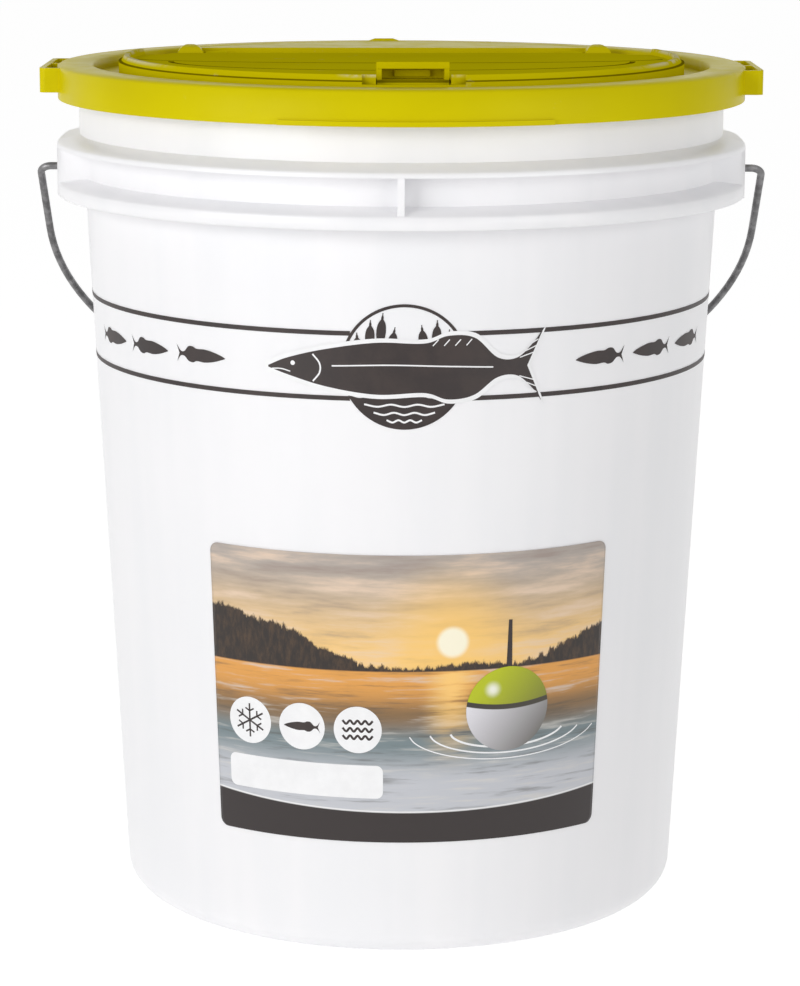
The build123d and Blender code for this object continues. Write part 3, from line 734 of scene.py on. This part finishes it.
# %% [markdown]
# The label is a glossy printed film, wrapped on the wall with rounded corners.
# The sheet keeps the CAD label's place and thickness. It is one grid for the
# front, one for the back and a narrow strip for the edge between them, and its UV
# map runs from 0 to 1 over the picture, u across and v up.

# %% Label sheet
LABEL_LOW, LABEL_HIGH = 53.0, 182.0
LABEL_LEFT, LABEL_RIGHT = radians(-37.0), radians(41.0)
LABEL_CORNER = 4.0
LABEL_MIDDLE = 117.5
WALL_RADIUS = FOOT_RADIUS / MM + TAPER * LABEL_MIDDLE
SHEET_LIFTS = (0.15, 0.40)
FIRST_LABEL_INK, SECOND_LABEL_INK, THIRD_LABEL_INK = 0.46, 0.50, 0.54


def label_sheet():
    """Front, back and edge of the sheet. At a distance d from the top or bottom edge,
    the ends draw in by r - sqrt(r^2 - (r - d)^2), the round of the corner r."""
    bend = np.linspace(0, pi / 2, 9)
    near = LABEL_CORNER * (1 - np.cos(bend))
    heights = np.concatenate([LABEL_LOW + near, np.linspace(LABEL_LOW, LABEL_HIGH, 44)[3:-3],
                              LABEL_HIGH - near[::-1]])
    edge = np.minimum(heights - LABEL_LOW, LABEL_HIGH - heights)
    d = np.minimum(edge, LABEL_CORNER)
    inset = LABEL_CORNER - np.sqrt(LABEL_CORNER**2 - (LABEL_CORNER - d) ** 2)
    share = np.linspace(0, 1, 121)[None]
    left = (LABEL_LEFT * WALL_RADIUS + inset)[:, None]
    right = (LABEL_RIGHT * WALL_RADIUS - inset)[:, None]
    x = left + (right - left) * share
    z = heights[:, None] + 0 * x
    flat = np.stack([x, z], -1)
    width = (LABEL_RIGHT - LABEL_LEFT) * WALL_RADIUS
    uv = np.stack([(x - LABEL_LEFT * WALL_RADIUS) / width,
                   (z - LABEL_LOW) / (LABEL_HIGH - LABEL_LOW)], -1)
    back, front = (on_wall(flat, LABEL_MIDDLE, lift) for lift in SHEET_LIFTS)

    def border(grid):
        """The grid's outline, walked clockwise as seen from the front."""
        return np.concatenate([grid[:, 0], grid[-1, 1:], grid[-2::-1, -1], grid[0, -2::-1]])

    edge_strip = np.stack([border(front), border(back)])
    edge_uv = np.stack([border(uv), border(uv)])
    return [(front, uv), (back[:, ::-1], uv[:, ::-1]), (edge_strip, edge_uv)]


sheet_grids = label_sheet()
print("label", round((LABEL_RIGHT - LABEL_LEFT) * WALL_RADIUS, 1), "mm wide")

# %% [markdown]
# The label's ground is a picture made of nodes on the sheet's UV map: an evening
# sky over a lake. It is painted from the back to the front, as on canvas: sky,
# then sun, hills, water and the dark foot, each mixed over what is there. Noise
# pulled out sideways gives the clouds and the ripples, and a finer noise makes
# the ragged edge of the woods.

# %% Sky and sun
SHORE = 0.60
SUN_U, SUN_V = 0.60, 0.70
LABEL_ASPECT = 1.41


def evening_sky(g, uv, u, v):
    """Yellow at the shore to grey above, with light and dark clouds, and a sun whose
    glow falls off with the distance from it."""
    clouds = g.noise(g.stretched(uv, (2.6, 13, 1)), 1.0, 5.0, 0.6)
    sky = g.mix(g.step(v, SHORE + 0.02, 0.98), srgb(247, 203, 128), srgb(176, 166, 158))
    sky = g.mix(g.times(g.step(clouds, 0.46, 0.66), 0.75), sky, srgb(236, 210, 186))
    sky = g.mix(g.times(g.step(clouds, 0.50, 0.32), 0.55), sky, srgb(146, 127, 118))
    from_sun = g.length(g.times(g.minus(u, SUN_U), LABEL_ASPECT), g.minus(v, SUN_V))
    sky = g.mix(g.times(g.step(from_sun, 0.32, 0.02), 0.8), sky, srgb(255, 206, 112))
    return g.mix(g.step(from_sun, 0.062, 0.040), sky, srgb(255, 248, 222))


# %% Wooded hills
def hill_top(g, uv, u, trees):
    """Height of the hills: the shore, plus a rise at the left end and a lower one at
    the right, plus a slow waver and the ragged tree tops."""
    slow = g.noise(g.stretched(uv, (5, 1, 1)), 1.0, 2.0)
    rise = g.plus(g.step(u, 0.50, 0.0), g.times(g.step(u, 0.76, 1.02), 0.55))
    top = g.plus(g.times(rise, 0.17), g.times(g.minus(slow, 0.5), 0.10))
    top = g.plus(top, g.times(g.minus(trees, 0.5), 0.07))
    return g.plus(top, SHORE + 0.015)


def wooded_hills(g, uv, u, v, sky):
    trees = g.noise(g.stretched(uv, (70, 14, 1)), 1.0, 4.0, 0.7)
    wood = g.mix(g.step(trees, 0.4, 0.7), srgb(38, 29, 24), srgb(74, 55, 38))
    above_hill = g.minus(v, hill_top(g, uv, u, trees))
    return g.mix(g.step(above_hill, 0.008, -0.004), sky, wood)


# %% Lake
def lake(g, uv, u, v):
    """Orange at the far shore, then brown, blue grey and pale towards the viewer, with
    light and dark swell and the sun's streak below the sun."""
    near = g.step(v, SHORE, 0.10)
    water = g.mix(g.step(near, 0.0, 0.22), srgb(226, 160, 78), srgb(134, 104, 68))
    water = g.mix(g.step(near, 0.20, 0.50), water, srgb(120, 134, 138))
    water = g.mix(g.step(near, 0.50, 0.90), water, srgb(196, 198, 204))
    swell = g.noise(g.stretched(uv, (4, 34, 1)), 1.0, 4.0, 0.6)
    water = g.mix(g.times(g.step(swell, 0.52, 0.68), 0.55), water, srgb(218, 214, 208))
    water = g.mix(g.times(g.step(swell, 0.48, 0.32), 0.5), water, srgb(78, 74, 66))
    below_sun = g.step(g.size(g.minus(u, SUN_U)), 0.085, 0.0)
    streak = g.times(below_sun, g.step(v, 0.22, SHORE), g.step(swell, 0.36, 0.56))
    return g.mix(streak, water, srgb(255, 206, 120))


# %% Whole picture
def lake_picture():
    """Sky, hills and lake, and a dark foot whose pale upper edge curves: its height is
    0.105 plus 0.035 times the square of the distance from the middle."""
    g = Graph("label lake picture")
    uv = g.coordinate("UV")
    u, v = g.axes(uv)[:2]
    land = wooded_hills(g, uv, u, v, evening_sky(g, uv, u, v))
    scene = g.mix(g.step(v, SHORE - 0.003, SHORE + 0.003), lake(g, uv, u, v), land)
    middle = g.minus(g.times(u, 2.0), 1.0)
    above_foot = g.minus(v, g.plus(0.105, g.times(middle, middle, 0.035)))
    scene = g.mix(g.step(above_foot, 0.008, 0.004), scene, srgb(236, 236, 236))
    scene = g.mix(g.step(above_foot, 0.002, -0.002), scene, srgb(44, 36, 35))
    g.bump(g.noise(g.coordinate("Object"), 500.0, 2.0), 0.02 * MM, 0.25)
    return g.finish(Base_Color=scene, Roughness=0.28, IOR=PLASTIC_IOR)


sheet = new_object("label_sheet", grid_mesh("label_sheet", sheet_grids), lake_picture(),
                   "pail", ("product_label",))
print("label picture of", len(sheet.active_material.node_tree.nodes), "nodes on",
      len(sheet.data.polygons), "faces")

# %% [markdown]
# A fishing float stands on the label's lake, half lime and half white, in the
# rings that it makes. Its shading is a painted one: the ball's UV map holds the
# direction that each point faces, and nodes turn that into light and shade. The
# rings are flat ovals, drawn only in front of the ball.

# %% Fishing float
def shaded_ball():
    """Painted ball: lime above, white below and a dark band between. With x and y
    from -1 to 1 on the ball, light falls from the upper left: shade = 0.62 - 0.35 x
    + 0.30 y, kept from 0 to 1. The gleam is a soft spot round its own middle."""
    g = Graph("painted float")
    across, up = g.axes(g.coordinate("UV"))[:2]
    x, y = g.minus(g.times(across, 2.0), 1.0), g.minus(g.times(up, 2.0), 1.0)
    bent = g.plus(y, g.times(x, x, -0.12))
    paint = g.mix(g.step(bent, -0.02, 0.0), srgb(232, 230, 236), srgb(52, 46, 42))
    paint = g.mix(g.step(bent, 0.10, 0.12), paint, srgb(186, 196, 14))
    light = g.plus(g.plus(0.62, g.times(x, -0.35)), g.times(y, 0.30), clamp=True)
    colour = g.mix(light, srgb(70, 66, 50), paint)
    gleam = g.step(g.length(g.plus(x, 0.38), g.minus(y, 0.48)), 0.24, 0.02)
    colour = g.mix(g.times(gleam, 0.9), colour, srgb(250, 250, 240))
    return g.finish(Base_Color=colour, Roughness=0.3)


FLOAT_X, FLOAT_Z, FLOAT_RADIUS = 48.0, 112.0, 19.0
ball = disc(FLOAT_X, FLOAT_Z, FLOAT_RADIUS, spokes=72)
ball_uv = (ball - np.array([FLOAT_X, FLOAT_Z])) / (2 * FLOAT_RADIUS) + 0.5
ball_mesh = grid_mesh("label_float", [(on_wall(ball, LABEL_MIDDLE, THIRD_LABEL_INK), ball_uv)])
new_object("label_float", ball_mesh, shaded_ball(), "pail")


def level(half_width, height):
    """Two points at the same height, left and right of the float's middle."""
    return np.array([[FLOAT_X - half_width, FLOAT_Z + height],
                     [FLOAT_X + half_width, FLOAT_Z + height]])


stick = strip(level(1.3, 18.4), level(0.8, 40.0), 3)
print_on_wall("label_float_stick", [stick], LABEL_MIDDLE, SECOND_LABEL_INK, brown_ink)
print("float", 2 * FLOAT_RADIUS, "mm across")


# %% Rings on the water
def water_ring(reach, width):
    """Front arc of an oval that is 0.3 times as high as wide, cut at the label's edge."""
    turn = np.radians(np.linspace(-172, -8, 60))
    oval = np.stack([FLOAT_X + 1.0 + reach * np.cos(turn),
                     FLOAT_Z - 9.0 + reach * 0.30 * np.sin(turn)], -1)
    oval = oval[np.abs(oval[:, 0] - 4.5) < 88.0]
    return line(oval[::4], width, 90)


rings = [water_ring(reach, width) for reach, width in ((27.0, 0.9), (36.0, 0.7), (45.0, 0.5))]
print_on_wall("label_water_rings", rings, LABEL_MIDDLE, FIRST_LABEL_INK, white_ink)
print("rings", len(rings))

# %% [markdown]
# Three white discs carry a snow crystal, a fish and waves, for cold, catch and
# water, and a plain white panel stands below them. All are strips again, printed
# a hair above the sheet, with the dark motifs a hair above the discs.

# %% Discs
DISC_HEIGHT, DISC_RADIUS = 104.0, 10.5
DISC_PLACES = (-68.0, -43.0, -18.0)
discs = [disc(x, DISC_HEIGHT, DISC_RADIUS, spokes=60) for x in DISC_PLACES]
print_on_wall("label_discs", discs, LABEL_MIDDLE, FIRST_LABEL_INK, white_ink)
print("discs", len(discs))


# %% Disc motifs
def crystal(x, z, size):
    """Snow crystal: six arms, each with two side twigs at sixty degrees."""
    lines = []
    centre = np.array([x, z])
    for turn in np.radians(np.arange(0, 360, 60) + 30):
        arm = np.array([np.cos(turn), np.sin(turn)])
        lines.append(line([centre, centre + arm * size], 0.8, 8))
        for bend in (-pi / 3, pi / 3):
            twig = np.array([np.cos(turn + bend), np.sin(turn + bend)])
            foot = centre + arm * size * 0.55
            lines.append(line([foot, foot + twig * size * 0.32], 0.7, 5))
    return lines


def wave_lines(x, z, reach):
    """Three wave lines, one above the other."""
    return [line(zigzag(x, z + up, reach, 0.8, 9), 1.0, 60) for up in (-3.4, 0.0, 3.4)]


motifs = crystal(DISC_PLACES[0], DISC_HEIGHT, 7.6)
motifs.append(fish(DISC_PLACES[1], DISC_HEIGHT, 16.5, 1.35))
motifs += wave_lines(DISC_PLACES[2], DISC_HEIGHT, 6.6)
print_on_wall("label_disc_motifs", motifs, LABEL_MIDDLE, SECOND_LABEL_INK, brown_ink)
print("motif strips", len(motifs))


# %% White panel
def rounded_panel(x0, x1, z0, z1, corner):
    """Panel with rounded corners: near each end its edges draw in along a quarter round."""
    x = np.concatenate([x0 + corner * (1 - np.cos(np.linspace(0, pi / 2, 8))),
                        np.linspace(x0 + corner, x1 - corner, 34)[1:-1],
                        x1 - corner * (1 - np.cos(np.linspace(pi / 2, 0, 8)))])
    d = np.minimum(np.minimum(x - x0, x1 - x), corner)
    inset = corner - np.sqrt(corner**2 - (corner - d) ** 2)
    return strip(np.stack([x, z0 + inset], -1), np.stack([x, z1 - inset], -1))


panel = rounded_panel(-79.0, -7.0, 73.0, 88.0, 3.0)
print_on_wall("label_panel", [panel], LABEL_MIDDLE, FIRST_LABEL_INK, white_ink)
print("panel of", panel.shape[1], "columns")

# %% [markdown]
# The light is a plain studio. A picture of a real studio could light the pail too,
# but lamps are easier to place and to read: two large softboxes in front of the
# pail, 45 degrees to the left and right, the left one twice as strong, and an even
# pale world. What the camera sees of floor and world, straight or mirrored in a
# gloss, is brighter than the light they give, so that the background is white, the
# steel and the lid mirror a white room, and the floor keeps the soft shadow.

# %% Softboxes
SOFTBOX_SIZE = (1.5, 1.3)
SOFTBOX_AWAY, SOFTBOX_HEIGHT = 1.6, 0.75
AIM = (0, 0, 0.2)
KEY_WATTS, FILL_WATTS = 24.6, 12.5


def softbox(name, place, power):
    """A rectangular area lamp at a place, turned to face the middle of the pail."""
    lamp_data = bpy.data.lights.new(name, "AREA")
    lamp_data.shape = "RECTANGLE"
    lamp_data.size, lamp_data.size_y = SOFTBOX_SIZE
    lamp_data.energy = power
    lamp = bpy.data.objects.new(name, lamp_data)
    bpy.context.scene.collection.objects.link(lamp)
    lamp.location = place
    lamp.rotation_euler = (Vector(AIM) - Vector(place)).to_track_quat("-Z", "Y").to_euler()


softbox("key_softbox", (-SOFTBOX_AWAY, -SOFTBOX_AWAY, SOFTBOX_HEIGHT), KEY_WATTS)
softbox("fill_softbox", (SOFTBOX_AWAY, -SOFTBOX_AWAY, SOFTBOX_HEIGHT), FILL_WATTS)
print("softboxes", len(bpy.data.lights))


# %% Pale world
def seen_rays(tree):
    """A socket that is 1 for rays from the camera, a gloss or a glass, and 0 for the
    rays that only carry light from one dull surface to another."""
    path = tree.nodes.new("ShaderNodeLightPath")
    share = path.outputs["Is Camera Ray"]
    for name in ("Is Glossy Ray", "Is Transmission Ray"):
        larger = tree.nodes.new("ShaderNodeMath")
        larger.operation = "MAXIMUM"
        tree.links.new(share, larger.inputs[0])
        tree.links.new(path.outputs[name], larger.inputs[1])
        share = larger.outputs[0]
    return share


def between(tree, share, low, high):
    """A socket that is low where share is 0 and high where it is 1."""
    ramp = tree.nodes.new("ShaderNodeMapRange")
    tree.links.new(share, ramp.inputs["Value"])
    ramp.inputs["To Min"].default_value = low
    ramp.inputs["To Max"].default_value = high
    return ramp.outputs[0]


WORLD_LEVEL, WORLD_SEEN = 0.36, 1.0
world = bpy.data.worlds.new("studio")
world.use_nodes = True
sky = world.node_tree
sky.nodes["Background"].inputs["Color"].default_value = (1, 1, 1, 1)
sky.links.new(between(sky, seen_rays(sky), WORLD_LEVEL, WORLD_SEEN),
              sky.nodes["Background"].inputs["Strength"])
bpy.context.scene.world = world
bpy.context.scene.view_settings.view_transform = "Standard"
print("world level", WORLD_LEVEL, "and seen as", WORLD_SEEN)

# %% [markdown]
# The floor is one wide matt square under the pail. It glows a little, as a floor
# of a lit studio sends light back up, and it looks brighter to the camera than it
# is to the pail. Its paint takes the pail's soft shadow.

# %% Floor
FLOOR_SIZE = 40.0
FLOOR_BOUNCE, FLOOR_SEEN = 0.23, 0.88
FLOOR_PAINT, FLOOR_PAINT_SEEN = (0.82, 0.82, 0.82, 1), (0.3, 0.3, 0.3, 1)
floor_graph = Graph("studio floor")
seen = seen_rays(floor_graph.tree)
floor_white = floor_graph.finish(
    Base_Color=floor_graph.mix(seen, FLOOR_PAINT, FLOOR_PAINT_SEEN),
    Roughness=1.0, Specular_IOR_Level=0.0, Emission_Color=(1, 1, 1, 1),
    Emission_Strength=between(floor_graph.tree, seen, FLOOR_BOUNCE, FLOOR_SEEN),
)
half = FLOOR_SIZE / 2
floor_mesh = bpy.data.meshes.new("studio_floor")
corners = [(-half, -half, 0), (half, -half, 0), (half, half, 0), (-half, half, 0)]
floor_mesh.from_pydata(corners, [], [(0, 1, 2, 3)])
floor_mesh.materials.append(floor_white)
floor = bpy.data.objects.new("studio_floor", floor_mesh)
bpy.context.scene.collection.objects.link(floor)
print("floor", FLOOR_SIZE, "m wide")
